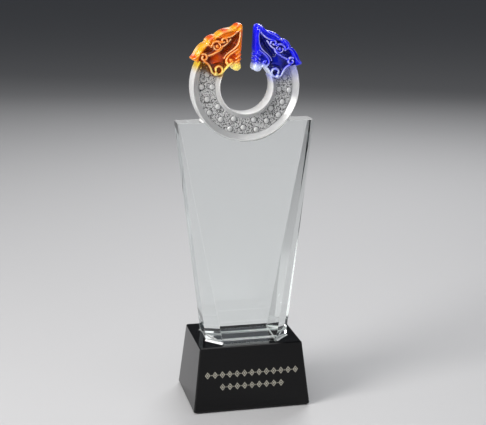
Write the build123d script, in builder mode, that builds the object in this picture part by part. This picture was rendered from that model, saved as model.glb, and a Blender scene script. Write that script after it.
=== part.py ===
from build123d import *
from math import asin, atan, cos, degrees, radians, sin, sqrt
import os

# Crystal award: a black crystal plinth, a clear crystal body that widens and thins towards its
# top, and a cast glass ring with two dragon heads, seated in a notch in the body's top.
# Millimetres. Origin on the desk, under the middle of the plinth. +Z up, the front faces -Y.

# Felt pad under the plinth
pad_thickness = 1.0
pad_inset = 3.0  # from the plinth's foot, all round
pad_corner = 4.0

# Plinth, a block that tapers upwards
plinth_width = 94.0
plinth_depth = 70.0
plinth_top_width = 82.0
plinth_top_depth = 60.0
plinth_height = 51.5
plinth_bevel = 0.8

# Ornament rows, sandblasted into the plinth's front and filled with paint
fill_depth = 0.3
mark_width = 4.4
mark_height = 5.6
mark_stroke = 0.55
mark_core_height = 2.2
dash_length = 0.9
mark_pitch = 5.9
upper_row_height = 29.5  # middle of the row above the plinth's foot, along the sloping face
upper_row_margin = 5.0  # the least that stays clear at each end; the row holds as many marks as fit
lower_row_height = 19.5
lower_row_margin = 16.5

# Adhesive films under the body and under the ring
bond_film = 0.2

# Clear body, wide and thin at the top, narrow and thick at the foot
body_height = 173.2
body_top_width = 107.0
ring_margin = 0.45  # what the body's top stands proud of the ring, front and back
body_foot_width = 65.7
body_foot_depth = 48.2
corner_cut_width = 11.4  # what each corner facet takes off the foot, across the front
corner_cut_depth = 12.2  # and along the side
corner_tip = 1.2  # what is left of the facet at the top
body_bevel = 0.4

# Ring, open at the top, with a sunk field on both faces
ring_radius = 41.5
bore_radius = 20.5
ring_thickness = 17.5
ring_seat = 15.1  # how deep the ring stands in the body's top
ring_turn = -3.3  # the ring leans this many degrees to the right in its seat
rim_lip = 0.6
outer_slope = 4.0
inner_slope = 2.8
field_depth = 3.8

# Studs on the sunk field: singles, with pairs between them
stud_radius = 2.4
stud_rise = 1.7
stud_step = 35.0
single_shift = 1.1  # outwards from the middle of the field
pair_inset = 2.4  # from each edge of the field

# Dragon heads, from the gap at the top down to where the plain ring starts
head_gap = 12.4
head_end = 26.0  # angle of the joint with the plain ring, above the horizontal
ground_sink = 2.25  # how far the ground between the carved bands lies below the ring's faces
crest_band = 5.2  # width of the crest's raised band, inside the ring's edge
crest_sink = 1.25
lip_width = 5.0
lip_sink = 0.0
tip_angle, tip_rise, tip_drop = 80.3, 7.0, 2.5
crest_lobes = [  # start, crown and end of each lobe: angle, rise above the ring's edge
    ((73.9, 3.9), (64.0, 4.7), (55.5, 3.7)),
    ((55.5, 3.7), (49.0, 5.5), (42.9, 3.8)),
    ((42.9, 3.8), (35.5, 5.5), (28.3, 5.2)),
]
tail_tip = (23.4, 6.8)
tail_root = (23.2, 3.7)
curl_width = 1.1
curl_sink = 0.15
curls = [  # angle, distance inside the ring's edge, outer radius
    (61.0, 7.6, 2.4),
    (48.0, 7.8, 3.2),
    (32.0, 3.8, 2.7),
]
eye_radius = 1.5
scroll_angle, scroll_rise = 34.0, 6.2  # lower scroll, measured out from the bore
scroll_radius = 3.4
jowl_angle, jowl_rise = 63.0, 7.6
jowl_radius = 4.6
jowl_sink = 0.55
beard_angle, beard_drop = 62.9, 1.6  # the beard's roll hangs into the bore
beard_radius = 3.5
beard_sink = 1.55

# Heights and places that follow
plinth_foot_z = pad_thickness
plinth_top_z = plinth_foot_z + plinth_height
body_foot_z = plinth_top_z + bond_film
body_top_z = body_foot_z + body_height
ring_z = body_top_z - ring_seat + ring_radius
half_ring = ring_thickness / 2
body_top_depth = ring_thickness + 2 * ring_margin
lean = radians(ring_turn)
across_ring = (cos(lean), 0, sin(lean))
ring_centre = (0, 0, ring_z)
ring_axis = Axis(ring_centre, (0, 1, 0))
ring_plane = Plane(origin=ring_centre, x_dir=across_ring, z_dir=(0, -1, 0))
gap_plane = Plane(origin=ring_centre, x_dir=(0, 1, 0), z_dir=across_ring)
os.makedirs("parts", exist_ok=True)


def polar(radius, angle):
    return (radius * cos(radians(angle)), radius * sin(radians(angle)))


def above_edge(angle, rise):
    return polar(ring_radius + rise, angle)


def write(builder, label):
    builder.part.label = label
    export_step(builder.part, f"parts/{label}.step")


def tapered_block(foot_z, foot_size, top_z, top_size):
    with BuildPart() as block:
        with BuildSketch(Plane.XY.offset(foot_z)):
            Rectangle(*foot_size)
        with BuildSketch(Plane.XY.offset(top_z)):
            Rectangle(*top_size)
        loft(ruled=True)
    return block.part


# Felt pad
with BuildPart() as felt_pad:
    with BuildSketch():
        RectangleRounded(plinth_width - 2 * pad_inset, plinth_depth - 2 * pad_inset, pad_corner)
    extrude(amount=pad_thickness)
write(felt_pad, "felt_pad")


# Ornament rows: upright lozenges with a small one inside, and a dash between neighbours
slope_angle = atan((plinth_depth - plinth_top_depth) / 2 / plinth_height)
front_plane = Plane(
    origin=(0, -plinth_depth / 2, plinth_foot_z),
    x_dir=(1, 0, 0),
    z_dir=(0, -cos(slope_angle), sin(slope_angle)),
)


def lozenge(width, height, mode=Mode.ADD):
    corners = [(width / 2, 0), (0, height / 2), (-width / 2, 0), (0, -height / 2)]
    Polygon(*corners, align=None, mode=mode)


def ornament_row(height, margin):
    narrowing = (plinth_width - plinth_top_width) * height * cos(slope_angle) / plinth_height
    marks = int((plinth_width - narrowing - 2 * margin) / mark_pitch)
    inner_width = mark_width - 2 * mark_stroke * mark_height / sqrt(mark_width**2 + mark_height**2) * 2
    inner_height = inner_width * mark_height / mark_width
    core_width = mark_core_height * mark_width / mark_height
    with BuildSketch(front_plane) as row:
        with Locations((0, height)):
            with GridLocations(mark_pitch, 1, marks, 1):
                lozenge(mark_width, mark_height)
                lozenge(inner_width, inner_height, mode=Mode.SUBTRACT)
                lozenge(core_width, mark_core_height)
            with GridLocations(mark_pitch, 1, marks - 1, 1):
                Rectangle(dash_length, mark_stroke)
    return row.sketch


upper_row = ornament_row(upper_row_height, upper_row_margin)
lower_row = ornament_row(lower_row_height, lower_row_margin)

for sketch, label in ((upper_row, "upper_ornament_row"), (lower_row, "lower_ornament_row")):
    with BuildPart() as paint_fill:
        extrude(sketch, amount=-fill_depth)
    write(paint_fill, label)


# Plinth
with BuildPart() as plinth:
    add(tapered_block(plinth_foot_z, (plinth_width, plinth_depth),
                      plinth_top_z, (plinth_top_width, plinth_top_depth)))
    chamfer(plinth.edges(), length=plinth_bevel)
    extrude(upper_row, amount=-fill_depth, mode=Mode.SUBTRACT)
    extrude(lower_row, amount=-fill_depth, mode=Mode.SUBTRACT)
write(plinth, "plinth")


# Clear body
foot_corner = (body_foot_width / 2, body_foot_depth / 2)
top_corner = (body_top_width / 2, body_top_depth / 2)


def corner_plane(side, face):
    on_front = Vector(side * (foot_corner[0] - corner_cut_width), face * foot_corner[1], body_foot_z)
    on_side = Vector(side * foot_corner[0], face * (foot_corner[1] - corner_cut_depth), body_foot_z)
    on_top = Vector(side * (top_corner[0] - corner_tip), face * top_corner[1], body_top_z)
    normal = (on_side - on_front).cross(on_top - on_front)
    outward = Vector(side, face, 0)
    return Plane(origin=on_front, z_dir=normal if normal.dot(outward) > 0 else -normal)


with BuildPart() as crystal_body:
    add(tapered_block(body_foot_z, (body_foot_width, body_foot_depth),
                      body_top_z, (body_top_width, body_top_depth)))
    for side in (-1, 1):
        for face in (-1, 1):
            split(bisect_by=corner_plane(side, face), keep=Keep.BOTTOM)
    chamfer(crystal_body.edges(), length=body_bevel)
    with Locations(Plane(origin=ring_centre, z_dir=(0, 1, 0))):
        Cylinder(ring_radius + bond_film, 2 * body_foot_depth, mode=Mode.SUBTRACT)
write(crystal_body, "crystal_body")


# Film under the body, following the foot's outline inside its bevel
with BuildPart() as plinth_bond:
    extrude(crystal_body.faces().sort_by(Axis.Z)[0], amount=bond_film, dir=(0, 0, -1))
write(plinth_bond, "plinth_bond")


# Film under the ring, up to the body's top
with BuildPart() as ring_bond:
    with BuildSketch(Plane(origin=ring_centre, x_dir=(1, 0, 0), z_dir=(0, -1, 0))):
        Circle(ring_radius + bond_film)
        Circle(ring_radius, mode=Mode.SUBTRACT)
    extrude(amount=half_ring, both=True)
    split(bisect_by=Plane.XY.offset(body_top_z), keep=Keep.BOTTOM)
write(ring_bond, "ring_bond")


# Plain part of the ring, turned from its cross-section, with studs on both faces
end_angle = head_end + ring_turn
end_direction = Vector(cos(radians(end_angle)), 0, sin(radians(end_angle)))
section_plane = Plane(origin=ring_centre, x_dir=end_direction, z_dir=end_direction.cross(Vector(0, 1, 0)))
field_half = half_ring - field_depth
field_start = bore_radius + rim_lip + inner_slope
field_end = ring_radius - rim_lip - outer_slope
section = [
    (bore_radius, half_ring),
    (bore_radius + rim_lip, half_ring),
    (field_start, field_half),
    (field_end, field_half),
    (ring_radius - rim_lip, half_ring),
    (ring_radius, half_ring),
]
single_radius = (field_start + field_end) / 2 + single_shift
pair_radii = (field_start + pair_inset, field_end - pair_inset)
studs = [(single_radius, 270 + step * stud_step) for step in range(-3, 4)]
studs += [(radius, 270 + (step + 0.5) * stud_step) for step in range(-3, 3) for radius in pair_radii]
stud_centre = field_half + stud_rise - stud_radius

with BuildPart() as clear_ring:
    with BuildSketch(section_plane):
        Polygon(*section, *[(radius, -height) for radius, height in reversed(section)], align=None)
    revolve(axis=ring_axis, revolution_arc=180 + 2 * head_end)
    for face in (-1, 1):
        with Locations(ring_plane.offset(face * stud_centre)):
            with Locations(*[polar(*stud) for stud in studs]):
                Sphere(stud_radius)
write(clear_ring, "clear_ring")


# Dragon heads: sunk ground, raised crest, lip, curls, jowl, scroll and beard
gap_side = head_gap / 2
gap_foot = (gap_side, sqrt(bore_radius**2 - gap_side**2))
gap_top = (gap_side, above_edge(tip_angle, tip_rise)[1] - tip_drop)
gap_foot_angle = degrees(asin(gap_foot[1] / bore_radius))

with BuildSketch(ring_plane) as outline:
    with BuildLine():
        Polyline(gap_foot, gap_top, above_edge(tip_angle, tip_rise), above_edge(*crest_lobes[0][0]))
        for lobe in crest_lobes:
            ThreePointArc(*[above_edge(*point) for point in lobe])
        Polyline(above_edge(*crest_lobes[-1][-1]), above_edge(*tail_tip), above_edge(*tail_root),
                 above_edge(head_end, 0), polar(bore_radius, head_end))
        ThreePointArc(polar(bore_radius, head_end), polar(bore_radius, (head_end + gap_foot_angle) / 2),
                      gap_foot)
    make_face()

with BuildSketch(ring_plane) as crest:
    add(outline.sketch_local)
    Circle(ring_radius - crest_band, mode=Mode.SUBTRACT)

with BuildSketch(ring_plane) as lip:
    with Locations((gap_side + lip_width / 2, 0)):
        Rectangle(lip_width, 2 * (ring_radius + tip_rise))
    add(outline.sketch_local, mode=Mode.INTERSECT)

with BuildSketch(ring_plane) as curl_rings:
    for angle, sink, radius in curls:
        with Locations(above_edge(angle, -sink)):
            Circle(radius)
    with Locations(polar(bore_radius + scroll_rise, scroll_angle)):
        Circle(scroll_radius)
    for angle, sink, radius in curls:
        with Locations(above_edge(angle, -sink)):
            Circle(radius - curl_width, mode=Mode.SUBTRACT)
    with Locations(polar(bore_radius + scroll_rise, scroll_angle)):
        Circle(scroll_radius - curl_width, mode=Mode.SUBTRACT)
    add(outline.sketch_local, mode=Mode.INTERSECT)

with BuildSketch(ring_plane) as jowl:
    with Locations(polar(bore_radius + jowl_rise, jowl_angle)):
        Circle(jowl_radius)
    add(outline.sketch_local, mode=Mode.INTERSECT)

with BuildSketch(ring_plane) as beard:
    with Locations(polar(bore_radius - beard_drop, beard_angle)):
        Circle(beard_radius)

layers = [
    (outline, ground_sink),
    (crest, crest_sink),
    (lip, lip_sink),
    (curl_rings, curl_sink),
    (jowl, jowl_sink),
    (beard, beard_sink),
]
with BuildPart() as blue_dragon_head:
    for layer, sink in layers:
        extrude(layer.sketch, amount=half_ring - sink, both=True)
    for face in (-1, 1):
        with Locations(ring_plane.offset(face * (half_ring - ground_sink))):
            with Locations(above_edge(curls[1][0], -curls[1][1])):
                Sphere(eye_radius)
write(blue_dragon_head, "blue_dragon_head")

with BuildPart() as amber_dragon_head:
    mirror(blue_dragon_head.part, about=gap_plane)
write(amber_dragon_head, "amber_dragon_head")
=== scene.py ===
import bmesh
import bpy
import math
import numpy as np
import random
from mathutils import Matrix, Vector, kdtree


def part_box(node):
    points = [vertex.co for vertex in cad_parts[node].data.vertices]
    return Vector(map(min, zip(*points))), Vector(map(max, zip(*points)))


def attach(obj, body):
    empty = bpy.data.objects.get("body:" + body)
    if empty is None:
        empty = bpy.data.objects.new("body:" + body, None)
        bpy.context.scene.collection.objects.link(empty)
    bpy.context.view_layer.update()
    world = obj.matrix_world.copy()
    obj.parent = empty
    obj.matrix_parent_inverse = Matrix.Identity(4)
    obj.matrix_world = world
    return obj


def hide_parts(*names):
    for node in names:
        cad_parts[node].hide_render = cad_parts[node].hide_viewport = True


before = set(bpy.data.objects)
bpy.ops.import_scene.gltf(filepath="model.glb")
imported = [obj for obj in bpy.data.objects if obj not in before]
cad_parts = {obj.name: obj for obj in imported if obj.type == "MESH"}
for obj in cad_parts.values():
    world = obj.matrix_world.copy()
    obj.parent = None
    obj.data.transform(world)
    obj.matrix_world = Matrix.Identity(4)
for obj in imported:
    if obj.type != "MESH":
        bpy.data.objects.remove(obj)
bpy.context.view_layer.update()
root = "root"           # the one body; nothing on the award moves
mm = 0.001


class Wire:
    # a node's output that takes part in sums
    def __init__(self, shader, socket):
        self.shader, self.socket = shader, socket

    def calc(self, operation, first, second):
        return self.shader.node("ShaderNodeMath", {"operation": operation}, {0: first, 1: second})

    def __add__(self, other):
        return self.calc("ADD", self, other)

    def __radd__(self, other):
        return self.calc("ADD", other, self)

    def __sub__(self, other):
        return self.calc("SUBTRACT", self, other)

    def __rsub__(self, other):
        return self.calc("SUBTRACT", other, self)

    def __mul__(self, other):
        return self.calc("MULTIPLY", self, other)

    def __rmul__(self, other):
        return self.calc("MULTIPLY", other, self)


class Shader:
    def __init__(self, name):
        self.material = bpy.data.materials.new(name)
        self.material.use_nodes = True
        self.tree = self.material.node_tree
        self.tree.nodes.clear()
        self.end = self.tree.nodes.new("ShaderNodeOutputMaterial")

    def node(self, kind, settings, sockets, output=0):
        made = self.tree.nodes.new(kind)
        for key, value in settings.items():
            if key == "stops":
                ramp = made.color_ramp
                while len(ramp.elements) < len(value):
                    ramp.elements.new(0.5)
                for element, (place, colour) in zip(ramp.elements, value):
                    element.position, element.color = place, (*colour, 1)
            else:
                setattr(made, key, value)
        for key, value in sockets.items():
            if isinstance(value, Wire):
                self.tree.links.new(value.socket, made.inputs[key])
            else:
                made.inputs[key].default_value = value
        return Wire(self, made.outputs[output])

    def place(self):
        return self.node("ShaderNodeTexCoord", {}, {}, "Object")

    def noise(self, scale, detail, roughness):
        return self.node("ShaderNodeTexNoise", {}, {
            "Vector": self.place(), "Scale": scale, "Detail": detail, "Roughness": roughness})

    def ramp(self, factor, stops):
        return self.node("ShaderNodeValToRGB", {"stops": stops}, {"Fac": factor})

    def span(self, value, low, high, bottom=0.0, top=1.0):
        return self.node("ShaderNodeMapRange", {"clamp": True}, {
            "Value": value, "From Min": low, "From Max": high, "To Min": bottom, "To Max": top})

    def blend(self, factor, first, second):
        return self.node("ShaderNodeMix", {"data_type": "RGBA"}, {0: factor, 6: first, 7: second}, 2)

    def bump(self, height, strength, distance):
        sockets = {"Height": height, "Strength": strength, "Distance": distance}
        return self.node("ShaderNodeBump", {}, sockets)

    def read(self, attribute):
        return self.node("ShaderNodeAttribute", {"attribute_name": attribute}, {}, "Fac")

    def surface(self, sockets, absorb=None, polished=None, share=0.0):
        # share is how much of the polished finish lies over the first one
        bsdf = self.node("ShaderNodeBsdfPrincipled", {}, sockets)
        if polished:
            gloss = self.node("ShaderNodeBsdfPrincipled", {}, polished)
            bsdf = self.node("ShaderNodeMixShader", {}, {0: share, 1: bsdf, 2: gloss})
        self.tree.links.new(bsdf.socket, self.end.inputs["Surface"])
        if absorb:
            volume = self.node("ShaderNodeVolumeAbsorption", {}, absorb)
            self.tree.links.new(volume.socket, self.end.inputs["Volume"])
        return self.material


def clearCrystal():
    s = Shader("clearCrystal")
    smudge = s.noise(55, 4, 0.6)
    return s.surface({
        "Base Color": (0.985, 0.993, 0.99, 1),
        "Roughness": s.span(smudge, 0.5, 0.8, 0.0, 0.035),
        "IOR": 1.52,
        "Transmission Weight": 1.0,
    }, absorb={"Color": (0.80, 0.88, 0.87, 1), "Density": 8.0})


def arrisHighlight():
    # the narrow arrises of the crystal, painted near white as a highlight for the light they catch as white
    # lines
    s = Shader("arrisHighlight")
    arrisNoise = s.noise(1500, 2, 0.6)
    return s.surface({
        "Base Color": s.blend(arrisNoise, (0.82, 0.84, 0.85, 1), (1.0, 1.0, 1.0, 1)),
        "Roughness": s.span(arrisNoise, 0.3, 0.7, 0.18, 0.4),
        "IOR": 1.52,
        "Transmission Weight": 0.35,
    })


def blackCrystal():
    s = Shader("blackCrystal")
    smudge = s.noise(38, 5, 0.62)
    dust = s.noise(2600, 2, 0.5)
    base = s.blend(s.span(dust, 0.66, 0.78), (0.004, 0.004, 0.0045, 1), (0.03, 0.03, 0.032, 1))
    return s.surface({
        "Base Color": base,
        "Roughness": s.span(smudge, 0.45, 0.8, 0.02, 0.09),
        "IOR": 1.5,
        "Specular IOR Level": 0.22,
    })


def paintFill():
    s = Shader("paintFill")
    grit = s.noise(1900, 3, 0.6)
    colour = s.ramp(grit, [(0.3, (0.26, 0.245, 0.20)), (0.7, (0.58, 0.56, 0.48))])
    return s.surface({
        "Base Color": colour,
        "Roughness": s.span(grit, 0.3, 0.7, 0.42, 0.62),
        "Metallic": 0.25,
        "Normal": s.bump(grit, 0.5, 0.00006),
    })


def feltCloth():
    s = Shader("feltCloth")
    fibre = s.noise(900, 4, 0.7)
    colour = s.ramp(fibre, [(0.3, (0.006, 0.006, 0.007)), (0.75, (0.03, 0.03, 0.033))])
    return s.surface({
        "Base Color": colour,
        "Roughness": 0.95,
        "Sheen Weight": 0.4,
        "Normal": s.bump(fibre, 0.8, 0.0002),
    })


def adhesiveHighlight():
    s = Shader("adhesiveHighlight")
    ripple = s.noise(420, 2, 0.5)
    # the glue painted almost opaque white as a highlight along its beads
    return s.surface({
        "Base Color": s.ramp(ripple, [(0.3, (0.88, 0.90, 0.91)), (0.7, (1.0, 1.0, 1.0))]),
        "Roughness": s.span(ripple, 0.3, 0.7, 0.12, 0.28),
        "IOR": 1.5,
        "Transmission Weight": 0.15,
    })


def castGlass():
    # clear cast glass: frosted walls, half polished slopes, painted shade between the granules, with amber
    # bleeding in at one end, painted darker as shade in the sunk channel, and a little blue at the other
    s = Shader("castGlass")
    crevice = s.read("crevice")
    bleed = s.read("bleed")
    cloud = s.noise(160, 4, 0.6)
    clear = s.blend(cloud, (0.90, 0.91, 0.92, 1), (1.0, 1.0, 0.99, 1))
    # painted shade: near black between the granules and in the moat round each stud
    clear = s.blend(crevice, clear, (0.004, 0.004, 0.005, 1))
    clear = s.blend(0.7 * s.read("cool"), clear, (0.30, 0.34, 1.0, 1))
    warm = s.blend(s.span(cloud, 0.35, 0.65), (0.98, 0.60, 0.01, 1), (1.0, 0.80, 0.03, 1))
    # painted shade: the amber turns dark brown in the sunk channel
    warm = s.blend(s.read("sunk"), warm, (0.22, 0.10, 0.02, 1))
    ripple = s.bump(s.noise(700, 3, 0.6), 0.10, 0.0002)
    return s.surface({
        "Base Color": s.blend(bleed, clear, warm),
        "Roughness": s.span(s.read("satin"), 0, 1, 0.03, 0.42),
        "IOR": 1.5,
        "Transmission Weight": 0.42,
        "Normal": ripple,
    }, polished={
        "Base Color": s.blend(bleed, (0.97, 0.98, 0.98, 1), warm),
        "Roughness": s.span(cloud, 0.3, 0.7, 0.10, 0.16),
        "IOR": 1.5,
        "Transmission Weight": 1.0,
        "Normal": ripple,
    }, share=s.read("polish"))


blueGlass = {           # stops of the carving's ramp of painted shade and light and of the crest's ramp, then the painted edge highlight and the pale colour
    "cut": [(0.1, (0.002, 0.004, 0.10)), (0.45, (0.005, 0.012, 0.42)), (0.85, (0.010, 0.012, 1.0))],
    "crest": [(0.2, (0.008, 0.008, 0.9)), (0.8, (0.05, 0.05, 1.0))],
    "edge": (0.74, 0.74, 1.0, 1),
    "paleAndHighlight": (0.76, 0.84, 1.0, 1),
}
amberGlass = {
    "cut": [(0.1, (0.13, 0.016, 0.001)), (0.45, (0.62, 0.07, 0.002)), (0.85, (1.0, 0.30, 0.008))],
    "crest": [(0.1, (1.0, 0.50, 0.015)), (0.45, (1.0, 0.31, 0.008)), (0.8, (0.85, 0.09, 0.003))],
    "edge": (1.0, 0.78, 0.42, 1),
    "paleAndHighlight": (1.0, 0.90, 0.25, 1),
}


def carvedGlass(name, colours):
    # coloured cast glass: painted shade where it is cut deep and painted light on the raised carving,
    # the crest lighter in its own tone where it thins and with painted light on top, a painted highlight
    # along its sharp edges and on the lower scroll's ridges, and pale where the colour runs out at the
    # beard
    s = Shader(name)
    cloud = s.noise(240, 4, 0.62)
    # painted shade in the hollows and painted light on the raised carving, by their height
    colour = s.ramp(s.read("relief") + (cloud - 0.5) * 0.4, colours["cut"])
    # the crest's own lighter tone where the glass thins, with painted light on its lit top
    crest = s.ramp(s.read("ember") + (cloud - 0.5) * 0.5, colours["crest"])
    colour = s.blend(s.read("crest"), colour, crest)
    # painted highlight along the sharp ridges
    colour = s.blend(s.read("edge"), colour, colours["edge"])
    # pale where the colour runs out, and on the scroll's ridges as a painted highlight
    colour = s.blend(s.read("pallor"), colour, colours["paleAndHighlight"])
    return s.surface({
        "Base Color": colour,
        "Emission Color": colour,       # stands for the light that the glass gathers from behind
        "Emission Strength": 0.16,
        "Roughness": s.span(cloud, 0.3, 0.7, 0.05, 0.13),
        "IOR": 1.5,
        "Transmission Weight": 0.45,
        "Normal": s.bump(s.noise(900, 3, 0.6), 0.12, 0.0002),
    })


def only(geometry, kind):
    return [part for part in geometry if isinstance(part, kind)]


def added(name, data):
    made = bpy.data.objects.new(name, data)
    bpy.context.scene.collection.objects.link(made)
    return made


def finish(name, bm, material, slot, *nodes, smooth=True):
    bmesh.ops.recalc_face_normals(bm, faces=bm.faces)
    if bm.calc_volume(signed=True) < 0:
        bmesh.ops.reverse_faces(bm, faces=bm.faces)
    mesh = bpy.data.meshes.new(name)
    bm.to_mesh(mesh)
    bm.free()
    piece = added(name, mesh)
    mesh.polygons.foreach_set("use_smooth", [smooth] * len(mesh.polygons))
    mesh.materials.append(material)
    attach(piece, root)
    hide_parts(*nodes)
    return piece


def applied(piece):
    # the piece with its modifiers made real
    graph = bpy.context.evaluated_depsgraph_get()
    mesh = bpy.data.meshes.new_from_object(piece.evaluated_get(graph))
    old = piece.data
    piece.modifiers.clear()
    piece.data = mesh
    bpy.data.meshes.remove(old)
    return piece


def addAttribute(piece, name, values):
    layer = piece.data.attributes.new(name, "FLOAT", "POINT")
    layer.data.foreach_set("value", np.asarray(values, np.float32))


def readPoints(mesh):
    points = np.empty(len(mesh.vertices) * 3)
    mesh.vertices.foreach_get("co", points)
    return points.reshape(-1, 3)


def writePoints(mesh, points):
    mesh.vertices.foreach_set("co", points.reshape(-1))
    mesh.update()


ring = {
    "turn": math.radians(-3.3),
    "boreRadius": 20.5 * mm,
    "lip": 0.6 * mm,
    "lipRound": 0.35 * mm,
    "roundSteps": 3,
    "outerSlope": 4.0 * mm,
    "innerSlope": 2.8 * mm,
    "fieldDepth": 3.8 * mm,
    "fieldFade": 0.5 * mm,          # the granules sink into the slopes over this width
    "near": 0.2 * mm,               # how close a point lies to the face that it belongs to
    "rimBand": 0.15 * mm,           # below the front, where the slopes' finish ends
    "sunkBand": 0.3 * mm,           # inside the rim, where the painted shade of the sunk channel ends
    "headEnd": 26.0,                # degrees above the horizontal where the heads begin
    "grid": 0.28 * mm,
    "studRadius": 2.15 * mm,
    "studRise": 1.6 * mm,
    "studStep": 35.0,
    "moat": (0.95, 1.30),           # stud radii between which the granules come back
    "singleRadius": 31.5 * mm,
    "pairRadii": (26.3 * mm, 34.4 * mm),
    "granuleSpacing": 1.25 * mm,
    "granuleRise": 0.7 * mm,
    "granuleReach": 0.62,           # of the spacing
    "rowPitch": 0.87,               # of the spacing
    "jitter": 0.3,
    "crevice": 0.8,                 # share of the rise under which the painted crevice shade still falls
    "satin": {"wall": 0.8, "slope": 0.5, "field": 0.2},
    "polish": {"slope": 0.45, "stud": 0.12},
    "bleedEnd": 169.0,              # degrees; the amber colour fades out here
    "bleedFade": 11.0,
    "coolEnd": 6.0,                 # and the blue one here
    "coolFade": 20.0,
    "seed": 7,
}
ringLow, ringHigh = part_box("clear_ring")
ringRadius = (ringHigh.x - ringLow.x) / 2
ringHalf = (ringHigh.y - ringLow.y) / 2
ringCentre = Vector((0, 0, ringLow.z + ringRadius))
ringPlace = Matrix.Translation(ringCentre) @ Matrix.Rotation(-ring["turn"], 4, "Y")
fieldFloor = ringHalf - ring["fieldDepth"]
fieldInner = ring["boreRadius"] + ring["lip"] + ring["innerSlope"]
fieldOuter = ringRadius - ring["lip"] - ring["outerSlope"]


def smoothStep(value):
    value = np.clip(value, 0, 1)
    return value * value * (3 - 2 * value)


def gapTo(points, centre, reach):
    # 0 at the centre and 1 at its reach
    return np.linalg.norm(points - np.array(centre), axis=1) / reach


def rounded(gap):
    # a quarter circle, from 1 in the middle to 0 at the edge
    return np.sqrt(np.clip(1 - gap ** 2, 0, 1))


def ringSection():
    # half of the cross-section from the bore to the outer wall, as (radius, height) points
    inner, outer, lip = ring["boreRadius"], ringRadius, ring["lip"]
    corners = [
        (inner, ringHalf), (inner + lip, ringHalf), (fieldInner, fieldFloor),
        (fieldOuter, fieldFloor), (outer - lip, ringHalf), (outer, ringHalf)]
    fieldSteps = round((fieldOuter - fieldInner) / ring["grid"])
    rounds = ring["roundSteps"]
    points = []
    for index, corner in enumerate(corners):
        here = Vector(corner)
        before = Vector(corners[index - 1]) if index else Vector((inner, 0))
        after = Vector(corners[index + 1]) if index < 5 else Vector((outer, 0))
        back, ahead = (before - here).normalized(), (after - here).normalized()
        most = 0.45 * min((before - here).length, (after - here).length)
        reach = min(ring["lipRound"], most)
        for step in range(rounds + 1):
            t = step / rounds
            points.append(here + back * reach * (1 - t) ** 2 + ahead * reach * t ** 2)
        run = (after - here).length - 2 * reach
        pieces = fieldSteps if index == 2 else max(1, round(run / (4 * ring["grid"])))
        if index < 5:
            start = here + ahead * reach
            points += [start + ahead * run * k / pieces for k in range(1, pieces)]
    return points


def fieldPattern(points):
    # granules and studs on the sunk floor: how far each point stands above it
    rng = random.Random(ring["seed"])
    spacing, jitter = ring["granuleSpacing"], ring["jitter"]
    grains = []
    radius = fieldInner - spacing
    while radius < fieldOuter + spacing:
        count = round(2 * math.pi * radius / spacing)
        shift = rng.random()
        for k in range(count):
            angle = 2 * math.pi * (k + shift + rng.uniform(-jitter, jitter)) / count
            r = radius + rng.uniform(-jitter, jitter) * spacing
            grains.append((r * math.cos(angle), r * math.sin(angle), rng.uniform(0.5, 1.0)))
        radius += spacing * ring["rowPitch"]
    tree = kdtree.KDTree(len(grains))
    for k, (x, z, _) in enumerate(grains):
        tree.insert((x, z, 0), k)
    tree.balance()
    rise = np.zeros(len(points))
    for k, (x, z) in enumerate(points):
        _, grain, gap = tree.find((x, z, 0))
        size = grains[grain][2]
        reach = spacing * ring["granuleReach"] * (0.7 + 0.3 * size)     # small ones are narrower too
        rise[k] = ring["granuleRise"] * size * math.sqrt(max(0.0, 1 - (gap / reach) ** 2))
    bottom, step = 270, ring["studStep"]
    studs = [(ring["singleRadius"], bottom + k * step) for k in range(-3, 4)]
    studs += [(r, bottom + (k + 0.5) * step) for k in range(-3, 3) for r in ring["pairRadii"]]
    for radius, angle in studs:
        centre = radius * np.array([math.cos(math.radians(angle)), math.sin(math.radians(angle))])
        gap = gapTo(points, centre, ring["studRadius"])
        moat = smoothStep((gap - ring["moat"][0]) / (ring["moat"][1] - ring["moat"][0]))
        rise = np.where(gap < 1, ring["studRise"] * rounded(gap), rise * moat)
    return rise


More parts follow.
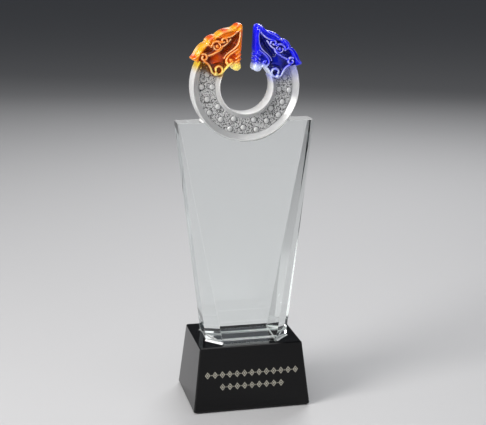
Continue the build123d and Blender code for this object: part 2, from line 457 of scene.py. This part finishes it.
def makeRing(material):
    bm = bmesh.new()
    top = ringSection()
    outline = top + [Vector((p.x, -p.y)) for p in reversed(top)]
    start = math.radians(ring["headEnd"])
    sweep = math.pi + 2 * start
    verts = [bm.verts.new((p.x * math.cos(start), p.y, p.x * math.sin(start))) for p in outline]
    edges = [bm.edges.new((verts[k - 1], verts[k])) for k in range(len(verts))]
    middle = (ring["boreRadius"] + ringRadius) / 2
    steps = round(sweep * middle / ring["grid"])
    spun = bmesh.ops.spin(bm, geom=verts + edges, cent=(0, 0, 0), axis=(0, 1, 0),
                          dvec=(0, 0, 0), angle=sweep, steps=steps, use_merge=False)
    bmesh.ops.contextual_create(bm, geom=edges)
    bmesh.ops.contextual_create(bm, geom=only(spun["geom_last"], bmesh.types.BMEdge))
    piece = finish("clearRing", bm, material, "clear_cast_glass", "clear_ring")
    points = readPoints(piece.data)
    radius = np.hypot(points[:, 0], points[:, 2])
    height = np.abs(points[:, 1])
    near = ring["near"]
    onFloor = (radius > fieldInner) & (radius < fieldOuter) & (np.abs(height - fieldFloor) < near)
    onWall = (radius > ringRadius - near) | (radius < ring["boreRadius"] + near)
    rise = np.zeros(len(points))
    fade = smoothStep(np.minimum(radius - fieldInner, fieldOuter - radius) / ring["fieldFade"])
    for face in (-1, 1):
        side = onFloor & (points[:, 1] * face > 0)
        rise[side] = fieldPattern(points[side][:, [0, 2]]) * fade[side]
        points[side, 1] += face * rise[side]
    angle = np.degrees(np.arctan2(points[:, 2], points[:, 0])) % 360
    bleed = smoothStep((ring["bleedEnd"] - angle) / ring["bleedFade"]) * (angle > 90)
    cool = smoothStep((angle - ring["coolEnd"]) / ring["coolFade"]) * (angle < 90)
    writePoints(piece.data, points)
    satin, polish = ring["satin"], ring["polish"]
    onStud = smoothStep((rise - ring["granuleRise"]) / near)
    onSlope = ~onWall & ~onFloor & (np.abs(points[:, 1]) < ringHalf - ring["rimBand"])
    frosted = np.where(onFloor, satin["field"] * (1 - onStud), satin["slope"])
    # painted shade between the granules, full where they sink to the floor and in the moat round each stud
    crevice = 1 - smoothStep(rise / (ring["crevice"] * ring["granuleRise"]))
    addAttribute(piece, "satin", np.where(onWall, satin["wall"], frosted))
    addAttribute(piece, "polish", polish["slope"] * onSlope + polish["stud"] * onStud * onFloor)
    addAttribute(piece, "crevice", onFloor * fade * crevice)
    # painted shade inside the outer rim, except on the walls
    addAttribute(piece, "sunk", (radius < ringRadius - ring["lip"] - ring["sunkBand"]) & ~onWall)
    addAttribute(piece, "bleed", bleed)
    addAttribute(piece, "cool", cool)
    piece.data.transform(ringPlace)
    return piece


head = {                    # lengths in millimetres, from the ring's centre
    "ground": 5.0,          # half thickness of the sunk ground
    "slab": 4.0,            # half thickness of the blank that is carved
    "voxel": 0.21,
    "smoothing": 5,
    "crestStart": 40.5,     # radius where the crest starts to round over
    "crestEnd": 48.6,
    "crestHalf": 8.4,       # half thickness where it starts
    "crestNarrowing": 0.85,
    "crestCarving": 0.18,   # share of the carving that still shows there
    "edgeRound": 1.2,
    "edgeBlur": 20,         # passes that tell the sharp edges from the ground
    "gapBulge": 1.3,        # how far the face at the gap swells at mid thickness
    "gapHalf": 8.2,
    "fullRelief": 3.3,      # rise that takes the brightest painted light
    "sideRelief": 0.75,
    "crestSide": 30,        # radius past which the rim takes the crest's tone and painted light
    "glow": 0.8,
    # share of the pale colour laid on the scroll's ridges as a painted highlight
    "scrollHighlight": 0.8,
}
headFades = {               # where each fade starts and ends; across and up from the ring's centre
    "face": (0.8, 0.95),    # share of the blank's half thickness
    "gapAcross": (10.5, 5.5),
    "gapUp": (16, 20),
    "edge": (0.2, 0.75),
    "crestRadius": (42.3, 44.5),
    "beardUp": (19.5, 15.5),
    "beardAcross": (21, 17),
    "beardRise": (1.2, 2.0),
    "beardEnd": (12.5, 10.5),
    "scrollUp": (16.5, 12.5),
    "scrollRise": (2.2, 3.0),
    "boreRadius": (22.6, 21.4),
    "boreUp": (17, 14),
}
# outline of the right head: up the gap side, down along the crest, back along the joint to the beard
gapSide = [(5.9, 17.8), (6.4, 19.4), (5.8, 21.0), (6.4, 22.6), (5.8, 24.2), (6.4, 25.8), (6.0, 28.0),
           (5.9, 34.0), (5.9, 40.0), (6.0, 44.5), (6.7, 46.7), (8.2, 47.6), (9.8, 46.9)]
crestSide = [(11.0, 45.4), (12.8, 43.9), (15.0, 43.2), (18.0, 42.6), (21.0, 41.4), (23.6, 39.6),
             (25.2, 37.9), (26.4, 37.8), (28.6, 37.2), (30.9, 35.8), (32.4, 33.9), (33.2, 31.8),
             (34.6, 31.2), (36.6, 29.6), (38.4, 27.4), (39.8, 25.0), (40.8, 22.9), (41.9, 21.2),
             (43.2, 19.9), (42.6, 18.8), (41.0, 18.2)]
innerSide = [(38.6, 17.0), (33.6, 17.0), (31.2, 15.4), (29.2, 12.4), (28.4, 9.4), (26.4, 7.2),
             (23.2, 6.4), (19.6, 6.6), (19.0, 9.0), (17.2, 11.6), (14.6, 14.4), (12.4, 16.4)]
beard = {"centre": (8.2, 15.2), "radius": 3.4}


def distanceTo(points, path):
    # shortest way from each point to a polyline
    best = np.full(len(points), 1e9)
    for start, end in zip(path[:-1], path[1:]):
        a, b = np.array(start), np.array(end)
        along = np.clip((points - a) @ (b - a) / max((b - a) @ (b - a), 1e-9), 0, 1)
        best = np.minimum(best, np.linalg.norm(points - a - along[:, None] * (b - a), axis=1))
    return best


def insideOf(points, loop):
    # how deep each point lies inside a closed outline; negative outside
    inside = np.zeros(len(points), bool)
    for (x0, y0), (x1, y1) in zip(loop, loop[1:] + loop[:1]):
        crosses = ((y0 > points[:, 1]) != (y1 > points[:, 1]))
        with np.errstate(divide="ignore", invalid="ignore"):
            at = (x1 - x0) * (points[:, 1] - y0) / (y1 - y0) + x0
        inside ^= crosses & (points[:, 0] < at)
    gap = distanceTo(points, loop + loop[:1])
    return np.where(inside, gap, -gap)


def curved(path, steps=6):
    # a smooth line through given points
    path = [np.array(p, float) for p in path]
    full = [2 * path[0] - path[1]] + path + [2 * path[-1] - path[-2]]
    made = []
    for k in range(1, len(full) - 2):
        a, b, c, d = full[k - 1:k + 3]
        for s in range(steps):
            t = s / steps
            made.append(tuple(0.5 * (2 * b + (c - a) * t + (2 * a - 5 * b + 4 * c - d) * t * t
                                     + (3 * b - a - 3 * c + d) * t ** 3)))
    return made + [tuple(path[-1])]


def spiral(centre, outer, inner, start, sweep, steps=26):
    made = []
    for k in range(steps + 1):
        t = k / steps
        radius, angle = outer + (inner - outer) * t, math.radians(start + sweep * t)
        made.append((centre[0] + radius * math.cos(angle), centre[1] + radius * math.sin(angle)))
    return made


# what is carved on the right head
plates = [  # outline, rise, softness of the edge
    ([(5.0, 49), (12, 46), (20.6, 43), (25.0, 39.6), (24.2, 35.6), (21.4, 36.2), (18.2, 36.6),
      (15.6, 37.0), (12.6, 38.4), (9.9, 40.8), (7.9, 43.2), (5.0, 44)], 2.0, 1.0),    # snout
    ([(5.0, 45), (7.4, 43.8), (7.4, 38.6), (8.0, 33.4), (9.2, 29.9), (12.0, 27.4), (9.0, 22.6),
      (8.0, 17), (5.0, 17)], 2.5, 0.9),                                               # lip
    ([(24.0, 39.4), (28.4, 38.4), (32.4, 36), (34.0, 31.8), (30.4, 29.2), (28.8, 32.2),
      (25.0, 35.0)], 2.0, 1.2),                                                       # brow
    ([(30.8, 31.4), (34.6, 31.4), (39.4, 27), (43, 22), (45.6, 19.2), (38, 17.0), (37.0, 22.2),
      (33.4, 27.0)], 1.9, 1.2),                                                       # tail
    (curved([(7.6, 29.4), (10.2, 27.0), (13.2, 24.7), (15.7, 22.2), (16.6, 19.6), (15.8, 17.4),
             (13.4, 16.4), (10.6, 17.6), (8.0, 20.8), (7.2, 25.2), (7.6, 29.4)])[:-1],
     1.3, 0.8),                                                                       # chin
    (spiral((0, 0), 19.0, 19.0, 56, -42) + spiral((0, 0), 21.6, 22.4, 14, 42), 3.55, 0.6),  # bore rim
]
ridges = [  # line, half width, rise
    (curved([(8.6, 46.6), (11.8, 43.3), (16.4, 41.3), (20.6, 39.7), (23.8, 37.0)]),
     0.9, 3.3),                                                                       # snout
    (curved([(7.5, 43.4), (9.7, 40.8), (12.5, 38.4), (15.7, 36.9), (18.6, 36.5)]),
     0.8, 3.4),                                                                       # upper lip
    (curved([(7.5, 43.4), (7.3, 38.6), (8.0, 33.4), (9.7, 29.9), (12.1, 27.4), (14.7, 25.3),
             (16.9, 23.2), (18.3, 20.9)]), 0.75, 3.3),                                # lower lip
    (curved([(14.2, 35.4), (15.9, 33.2), (18.1, 31.0), (20.4, 29.7)]), 0.75, 3.0),    # cheek line
    (curved([(20.2, 29.7), (21.9, 27.0), (24.8, 25.2), (27.2, 23.7), (30.4, 22.4)]),
     0.95, 3.2),                                                                      # lower lid
    (spiral((19.3, 34.0), 2.5, 1.0, 190, -300), 0.95, 3.5),                           # nostril
    (curved([(21.3, 32.6), (23.4, 33.2), (25.8, 33.2), (28.0, 31.6), (28.8, 29.2)]),
     1.0, 3.3),                                                                       # upper lid
    (spiral((24.4, 29.6), 2.7, 2.5, 120, 250), 0.7, 3.0),                             # eye rim
    (curved([(24.2, 37.0), (27.6, 35.9), (30.2, 34.0), (31.4, 31.4)]), 0.9, 3.3),     # brow
    (curved([(28.8, 29.2), (30.8, 30.4), (33.4, 29.4), (35.6, 27.0), (37.2, 24.0), (38.2, 22.4)]),
     0.9, 3.2),                                                                       # ear
    (curved([(38.2, 22.4), (40.2, 20.6), (42.6, 19.2)]), 0.8, 3.1),                   # tail
    (spiral((34.0, 20.9), 2.8, 1.2, 60, 330), 1.0, 3.5),                              # ear curl
    (curved([(8.4, 28.4), (12.0, 25.7), (15.1, 22.9), (16.5, 19.9), (15.9, 17.3), (13.8, 16.3),
             (12.2, 17.6), (12.4, 19.6), (13.9, 20.0)]), 1.05, 3.3),                  # chin curl
    (curved([(25.0, 8.4), (22.9, 8.4), (20.4, 9.2), (19.2, 11.4), (19.9, 13.8), (22.3, 14.8),
             (24.4, 13.4), (24.3, 11.4)]), 1.05, 3.4),                                # lower scroll
    (curved([(24.6, 8.4), (27.0, 10.0), (28.3, 13.0), (30.2, 15.8), (33.4, 17.9)]),
     1.0, 3.3),                                                                       # whisker
    (curved([(5.4, 26.4), (7.6, 26.0), (9.2, 24.6)]), 0.8, 3.2),                      # locks of the beard
    (curved([(5.4, 23.4), (7.4, 22.8), (9.2, 21.2)]), 0.8, 3.2),
    (curved([(5.4, 20.4), (7.4, 19.8), (9.4, 18.6)]), 0.8, 3.1),
]
domes = [  # centre, radius, rise
    ((24.4, 29.6), 1.7, 3.3),                                                         # eyeball
    ((24.0, 8.9), 2.0, 3.9),                                                          # bead of the scroll
    ((13.6, 19.4), 1.2, 3.4),                                                         # end of the chin curl
    ((8.2, 15.2), 4.0, 3.0),                                                          # beard roll
]
swells = [  # centre, reach, rise: soft, with no edge
    ((23.5, 20.0), 8.5, 1.7),                                                         # cheek
    ((11.6, 33.4), 3.4, 1.1),                                                         # inside of the lip
    ((18.6, 43.2), 5.0, 0.8), ((29.6, 36.2), 4.4, 0.9), ((38.0, 26.6), 5.0, 0.8),     # crest lobes
]
grooves = [  # line, half width, depth
    (curved([(10.4, 44.6), (14.0, 41.3), (18.4, 39.4), (22.8, 37.4)]), 0.9, 0.9),     # along the snout
    (curved([(26.0, 37.0), (28.0, 34.4), (29.0, 31.4)]), 0.7, 1.2),                   # behind the eye
    (curved([(31.6, 32.2), (33.6, 33.0)]), 0.8, 1.0),                                 # brow to tail
    (curved([(9.0, 28.9), (12.6, 26.4), (16.2, 23.6), (18.2, 20.2), (17.4, 16.6), (14.6, 14.9)]),
     0.7, 1.5),                                                                       # round the chin
    (curved([(9.4, 39.6), (12.2, 34.6), (16.2, 29.6), (19.8, 25.4)]), 2.4, 1.7),      # mouth
    (curved([(27.6, 27.0), (30.4, 25.6), (33.8, 24.6)]), 1.6, 1.0),                   # under the ear
    (curved([(19.2, 16.6), (21.6, 17.0), (25.2, 16.0)]), 1.4, 1.0),                   # over the scroll
    (curved([(5.0, 24.9), (7.6, 24.3), (9.2, 22.9)]), 0.5, 0.9),                      # between the locks
    (curved([(5.0, 21.9), (7.6, 21.3), (9.2, 19.8)]), 0.5, 0.9),
    ([(8.4, 15.2), (8.5, 15.2)], 0.8, 1.2),                                           # eye of the roll
]
embers = [  # centre, reach: glow in the crest
    ((9.2, 46.4), 3.6), ((19.6, 42.6), 4.2), ((29.8, 36.2), 4.0), ((41.6, 21.0), 3.0),
]


def headRelief(points):
    # how high the carving stands above the ground
    rise = np.zeros(len(points))
    for loop, height, softness in plates:
        rise = np.maximum(rise, height * smoothStep(insideOf(points, loop) / softness + 0.5))
    for centre, reach, height in swells:
        rise += height * rounded(gapTo(points, centre, reach)) ** 4
    for line, width, height in ridges:
        rise = np.maximum(rise, height * rounded(distanceTo(points, line) / width))
    for centre, radius, height in domes:
        rise = np.maximum(rise, height * rounded(gapTo(points, centre, radius)))
    for line, width, depth in grooves:
        rise -= depth * smoothStep(1 - distanceTo(points, line) / width)
    return rise


def averaged(mesh, values, passes):
    # values spread over neighbouring points
    edges = np.empty(len(mesh.edges) * 2, int)
    mesh.edges.foreach_get("vertices", edges)
    edges = edges.reshape(-1, 2)
    count = np.bincount(edges.ravel(), minlength=len(values))
    for _ in range(passes):
        total = np.bincount(edges[:, 0], values[edges[:, 1]], len(values))
        total += np.bincount(edges[:, 1], values[edges[:, 0]], len(values))
        values = 0.5 * values + 0.5 * total / np.maximum(count, 1)
    return values


def headBlank(name, loop, material, slot, node):
    # a plain slab in the head's outline, meshed evenly enough to carve
    bm = bmesh.new()
    face = bm.faces.new([bm.verts.new((u, -head["slab"], v)) for u, v in loop])
    grown = bmesh.ops.extrude_face_region(bm, geom=[face])
    moved = only(grown["geom"], bmesh.types.BMVert)
    bmesh.ops.translate(bm, verts=moved, vec=(0, 2 * head["slab"], 0))
    bmesh.ops.triangulate(bm, faces=bm.faces)
    piece = finish(name, bm, material, slot, node)
    remesh = piece.modifiers.new("even", "REMESH")
    remesh.mode, remesh.voxel_size = "VOXEL", head["voxel"]
    return applied(piece)


def faded(value, name):
    # 0 before the start and 1 past the end, whichever of the two is the larger
    start, end = headFades[name]
    return smoothStep((value - start) / (end - start))


def paintHead(piece, places, rise, onFace):
    # where each colour of the cast lies, and where shade and light are painted on it
    u, v = places.T
    radius = np.hypot(u, v)
    # painted highlight: how far each point stands above its wider surroundings, high on sharp ridges
    edge = averaged(piece.data, rise, 1) - averaged(piece.data, rise, head["edgeBlur"])
    locks = faded(v, "beardUp") * faded(u, "beardAcross")
    locks *= np.maximum(faded(rise, "beardRise"), faded(u, "beardEnd"))
    # painted highlight: the raised ridges of the lower scroll and whisker turn pale
    paintedScrollHighlight = head["scrollHighlight"] * faded(v, "scrollUp") * faded(rise, "scrollRise")
    bore = faded(radius, "boreRadius") * faded(v, "boreUp")
    glow = np.maximum.reduce([rounded(gapTo(places, *ember)) ** 2 for ember in embers])
    # painted shade in the hollows and painted light on the raised carving; the side walls take a fixed
    # bright share
    relief = np.clip(rise / head["fullRelief"], 0, 1)
    # the upper side walls take the crest's tone and painted light too
    rim = (1 - onFace) * (radius > head["crestSide"])
    addAttribute(piece, "relief", relief * onFace + head["sideRelief"] * (1 - onFace))
    addAttribute(piece, "edge", faded(edge, "edge") * onFace)
    addAttribute(piece, "ember", head["glow"] * glow)
    addAttribute(piece, "crest", np.maximum(faded(radius, "crestRadius"), rim))
    addAttribute(piece, "pallor", np.maximum.reduce([locks, paintedScrollHighlight, bore]))


def makeHead(name, side, material, slot, node):
    (beardU, beardV), beardRadius = beard["centre"], beard["radius"]
    turns = [math.radians(a) for a in range(340, 120, -15)]
    roll = [(beardU + beardRadius * math.cos(a), beardV + beardRadius * math.sin(a)) for a in turns]
    loop = curved(gapSide + crestSide, 4) + curved(innerSide, 4) + roll
    piece = headBlank(name, loop, material, slot, node)
    points = readPoints(piece.data)
    places = points[:, [0, 2]]
    rise = headRelief(places)
    onFace = faded(np.abs(points[:, 1]) / head["slab"], "face")
    over = np.hypot(*places.T) - head["crestStart"]
    over = np.clip(over / (head["crestEnd"] - head["crestStart"]), 0, 1)
    dome = head["crestHalf"] * np.sqrt(1 - head["crestNarrowing"] * over ** 2)
    half = np.minimum(head["ground"] + rise, dome + head["crestCarving"] * rise)
    depth = np.clip(insideOf(places, loop) / head["edgeRound"], 0, 1)
    half -= head["edgeRound"] * (1 - rounded(1 - depth))
    points[:, 1] *= half / head["slab"]
    nearGap = faded(points[:, 0], "gapAcross") * faded(points[:, 2], "gapUp")
    points[:, 0] -= head["gapBulge"] * nearGap * rounded(points[:, 1] / head["gapHalf"]) ** 2
    points *= mm
    points[:, 0] *= side
    writePoints(piece.data, points)
    paintHead(piece, places, rise, onFace)
    softened = bmesh.new()
    softened.from_mesh(piece.data)
    for _ in range(head["smoothing"]):
        bmesh.ops.smooth_vert(softened, verts=softened.verts, factor=0.5,
                              use_axis_x=True, use_axis_y=True, use_axis_z=True)
    bmesh.ops.recalc_face_normals(softened, faces=softened.faces)
    softened.to_mesh(piece.data)
    softened.free()
    piece.data.polygons.foreach_set("use_smooth", [True] * len(piece.data.polygons))
    piece.data.transform(ringPlace)
    print(name, len(piece.data.polygons), "faces")
    return piece


body = {
    "topWidth": 107.0 * mm,
    "topDepth": 18.4 * mm,
    "footWidth": 65.7 * mm,
    "footDepth": 48.2 * mm,
    "cutWidth": 11.4 * mm,
    "cutDepth": 12.2 * mm,
    "tip": 1.2 * mm,
    "bevel": 0.55 * mm,
    "bevelSteps": 3,
    "bevelAngle": math.radians(20),
    "notchGap": 0.2 * mm,
    "notchSides": 256,
    "weld": 0.05 * mm,      # closes the slivers that the notch leaves at the facets
    "sliver": 0.01 * mm,
}


def makeBody(material, arrisHighlightMaterial):
    # a tapered block with a long facet cut off each upright edge, and the ring's notch in its top
    low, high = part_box("crystal_body")
    topX, topY = body["topWidth"] / 2, body["topDepth"] / 2
    footX, footY = body["footWidth"] / 2, body["footDepth"] / 2
    bm = bmesh.new()
    bmesh.ops.create_cube(bm, size=1)
    for v in bm.verts:
        x, y, z = (topX, topY, high.z) if v.co.z > 0 else (footX, footY, low.z)
        v.co = Vector((math.copysign(x, v.co.x), math.copysign(y, v.co.y), z))
    for side in (-1, 1):
        for face in (-1, 1):
            front = Vector((side * (footX - body["cutWidth"]), face * footY, low.z))
            flank = Vector((side * footX, face * (footY - body["cutDepth"]), low.z))
            top = Vector((side * (topX - body["tip"]), face * topY, high.z))
            normal = (flank - front).cross(top - front).normalized()
            if normal.dot(Vector((side, face, 0))) < 0:
                normal.negate()
            cut = bmesh.ops.bisect_plane(bm, geom=bm.verts[:] + bm.edges[:] + bm.faces[:],
                                         plane_co=front, plane_no=normal, clear_outer=True)
            bmesh.ops.edgeloop_fill(bm, edges=only(cut["geom_cut"], bmesh.types.BMEdge))
    bmesh.ops.recalc_face_normals(bm, faces=bm.faces)
    piece = finish("crystalBody", bm, material, "clear_crystal", "crystal_body", smooth=False)
    piece.data.materials.append(arrisHighlightMaterial)
    cutter = bmesh.new()
    radius = ringRadius + body["notchGap"]
    bmesh.ops.create_cone(cutter, cap_ends=True, segments=body["notchSides"],
                          radius1=radius, radius2=radius, depth=body["topWidth"])
    bmesh.ops.rotate(cutter, verts=cutter.verts, matrix=Matrix.Rotation(math.pi / 2, 3, "X"))
    bmesh.ops.translate(cutter, verts=cutter.verts, vec=ringCentre)
    tool = added("notchTool", bpy.data.meshes.new("notchTool"))
    cutter.to_mesh(tool.data)
    cutter.free()
    notch = piece.modifiers.new("notch", "BOOLEAN")
    notch.operation, notch.solver, notch.object = "DIFFERENCE", "EXACT", tool
    arris = piece.modifiers.new("arris", "BEVEL")
    arris.width, arris.segments, arris.limit_method = body["bevel"], body["bevelSteps"], "ANGLE"
    arris.angle_limit, arris.profile, arris.harden_normals = body["bevelAngle"], 0.5, True
    # the arrises take the painted highlight material
    arris.material = 1
    applied(piece)
    bpy.data.objects.remove(tool)
    weld = bmesh.new()
    weld.from_mesh(piece.data)
    bmesh.ops.remove_doubles(weld, verts=weld.verts, dist=body["weld"])
    bmesh.ops.dissolve_degenerate(weld, edges=weld.edges, dist=body["sliver"])
    weld.to_mesh(piece.data)
    weld.free()
    return piece


bond = {
    "fillet": 2.4 * mm,     # leg of the bead pressed out at each end of the ring's film
    "footBead": 1.2 * mm,   # and of the one round the body's foot
    "steps": 6,
    "inset": 0.3,           # of the foot's bead, how far it reaches into the body
    "overlap": 0.1 * mm,    # of the ring's beads with its film
    "filmSteps": 96,
}


def makeFootBond(material):
    # the film under the body, with a narrow bead round the foot's outline
    low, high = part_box("plinth_bond")
    width, depth = body["footWidth"] / 2, body["footDepth"] / 2
    corner = [(width - body["cutWidth"], depth), (width, depth - body["cutDepth"])]
    outline = [(x * u, y * v) for u, v, turn in ((1, -1, -1), (1, 1, 1), (-1, 1, -1), (-1, -1, 1))
               for x, y in corner[::turn]]
    bead = bond["footBead"]
    bm = bmesh.new()
    rings = []
    for k in range(bond["steps"] + 1):
        t = k / bond["steps"]
        out, up = bead * (1 - t) ** 2, bead * t ** 2
        spread = [(x + math.copysign(out, x), y + math.copysign(out, y)) for x, y in outline]
        verts = [bm.verts.new((x, y, low.z + up)) for x, y in spread]
        rings.append([bm.edges.new((verts[i - 1], verts[i])) for i in range(len(verts))])
    for below, above in zip(rings[:-1], rings[1:]):
        bmesh.ops.bridge_loops(bm, edges=below + above)
    inset = bead * bond["inset"]
    inner = [(x - math.copysign(inset, x), y - math.copysign(inset, y)) for x, y in outline]
    verts = [bm.verts.new((x, y, low.z + bead)) for x, y in inner]
    top = [bm.edges.new((verts[i - 1], verts[i])) for i in range(len(verts))]
    bmesh.ops.bridge_loops(bm, edges=rings[-1] + top)
    verts = [bm.verts.new((x, y, low.z)) for x, y in inner]
    foot = [bm.edges.new((verts[i - 1], verts[i])) for i in range(len(verts))]
    bmesh.ops.bridge_loops(bm, edges=top + foot)
    bmesh.ops.bridge_loops(bm, edges=foot + rings[0])
    finish("plinthBond", bm, material, "uv_adhesive", "plinth_bond", smooth=False)


def makeRingBond(material):
    # a thin saddle, with a hollow bead in each corner between the ring and the body's top
    outer = ringRadius + body["notchGap"]
    drop = ringCentre.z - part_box("ring_bond")[1].z
    reach = math.asin(drop / outer)
    bm = bmesh.new()
    corners = [(ringRadius, -ringHalf), (outer, -ringHalf), (outer, ringHalf), (ringRadius, ringHalf)]
    verts = [bm.verts.new((-r * math.cos(reach), y, -r * math.sin(reach))) for r, y in corners]
    edges = [bm.edges.new((verts[k - 1], verts[k])) for k in range(4)]
    spun = bmesh.ops.spin(bm, geom=verts + edges, cent=(0, 0, 0), axis=(0, 1, 0), dvec=(0, 0, 0),
                          angle=-(math.pi - 2 * reach), steps=bond["filmSteps"], use_merge=False)
    bmesh.ops.contextual_create(bm, geom=edges)
    bmesh.ops.contextual_create(bm, geom=only(spun["geom_last"], bmesh.types.BMEdge))
    for side in (-1, 1):
        corner = Vector((side * outer * math.cos(reach), -drop))
        along = Vector((side, 0)) * bond["fillet"]
        up = Vector((side * math.sin(reach), math.cos(reach))) * bond["fillet"]
        profile = [corner - bond["overlap"] * Vector((side, 1))]
        for k in range(bond["steps"] + 1):
            t = k / bond["steps"]
            profile.append(corner + along * (1 - t) ** 2 + up * t ** 2)
        half = ringHalf - ring["lip"]
        face = bm.faces.new([bm.verts.new((p.x, -half, p.y)) for p in profile])
        grown = bmesh.ops.extrude_face_region(bm, geom=[face])
        moved = only(grown["geom"], bmesh.types.BMVert)
        bmesh.ops.translate(bm, verts=moved, vec=(0, 2 * half, 0))
    piece = finish("ringBond", bm, material, "uv_adhesive", "ring_bond", smooth=False)
    piece.data.transform(Matrix.Translation(ringCentre))
    return piece


studio = {
    "lens": 85.67,
    "sensor": 36,
    "camera": (-0.2002, -0.8627, 0.3671),
    "target": (-0.00041, 0, 0.15217),
    "roll": math.radians(0.32),
    "clip": (0.01, 50),
    "floorHalf": 6,
    "floorColour": (0.50, 0.50, 0.51, 1),
    "floorRoughness": 0.6,
    "skyColour": (0.85, 0.90, 1.0, 1),
    "skyStrength": 0.07,
    "lit": (0, 0, 0.16),
    "lights": (         # name, place, size, power, colour
        ("keyLight", (-1.15, -0.45, 0.75), (0.6, 0.6), 21, (1.0, 0.98, 0.95)),
        ("fillLight", (0.9, -1.0, 0.6), (1.2, 1.2), 2.0, (0.93, 0.96, 1.0)),
        ("backLight", (0.5, 0.95, 1.05), (0.8, 0.4), 10, (1, 1, 1)),
        ("lowStrip", (0.38, 1.6, 0.5), (1.7, 0.14), 0.8, (1, 1, 1)),
        ("topLight", (-0.3, -0.2, 1.3), (1.1, 1.1), 9, (1, 1, 1)),
    ),
}


def facing(place, target):
    return (Vector(target) - Vector(place)).to_track_quat("-Z", "Y").to_matrix().to_4x4()


def makeCamera():
    data = bpy.data.cameras.new("camera")
    data.sensor_width, data.lens = studio["sensor"], studio["lens"]
    data.clip_start, data.clip_end = studio["clip"]
    camera = added("camera", data)
    camera.location = studio["camera"]
    look = facing(studio["camera"], studio["target"])
    camera.rotation_euler = (look @ Matrix.Rotation(studio["roll"], 4, "Z")).to_euler()
    bpy.context.scene.camera = camera


def makeStage():
    bm = bmesh.new()
    bmesh.ops.create_grid(bm, x_segments=1, y_segments=1, size=studio["floorHalf"])
    mesh = bpy.data.meshes.new("floor")
    bm.to_mesh(mesh)
    bm.free()
    floor = added("floor", mesh)
    s = Shader("floorPaint")
    mesh.materials.append(s.surface({
        "Base Color": studio["floorColour"],
        "Roughness": studio["floorRoughness"],
    }))
    world = bpy.data.worlds.new("studio")
    world.use_nodes = True
    sky = world.node_tree.nodes["Background"].inputs
    sky["Color"].default_value = studio["skyColour"]
    sky["Strength"].default_value = studio["skyStrength"]
    bpy.context.scene.world = world
    bpy.context.scene.view_settings.view_transform = "Standard"
    for name, place, size, power, colour in studio["lights"]:
        data = bpy.data.lights.new(name, "AREA")
        data.shape, data.energy, data.color = "RECTANGLE", power, colour
        data.size, data.size_y = size
        light = added(name, data)
        light.location = place
        light.visible_camera = False
        light.rotation_euler = facing(place, studio["lit"]).to_euler()


makeCamera()
makeStage()
print("camera, floor and lights are set")

paint = paintFill()
for node, material in (("plinth", blackCrystal()), ("felt_pad", feltCloth()),
                       ("upper_ornament_row", paint), ("lower_ornament_row", paint)):
    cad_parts[node].data.materials.clear()
    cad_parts[node].data.materials.append(material)

makeBody(clearCrystal(), arrisHighlight())
glueHighlight = adhesiveHighlight()
makeFootBond(glueHighlight)
makeRingBond(glueHighlight)
print("body and bonds are made")
makeRing(castGlass())
print("ring is made")
makeHead("blueDragonHead", 1, carvedGlass("blueGlass", blueGlass),
         "blue_cast_glass", "blue_dragon_head")
makeHead("amberDragonHead", -1, carvedGlass("amberGlass", amberGlass),
         "amber_cast_glass", "amber_dragon_head")
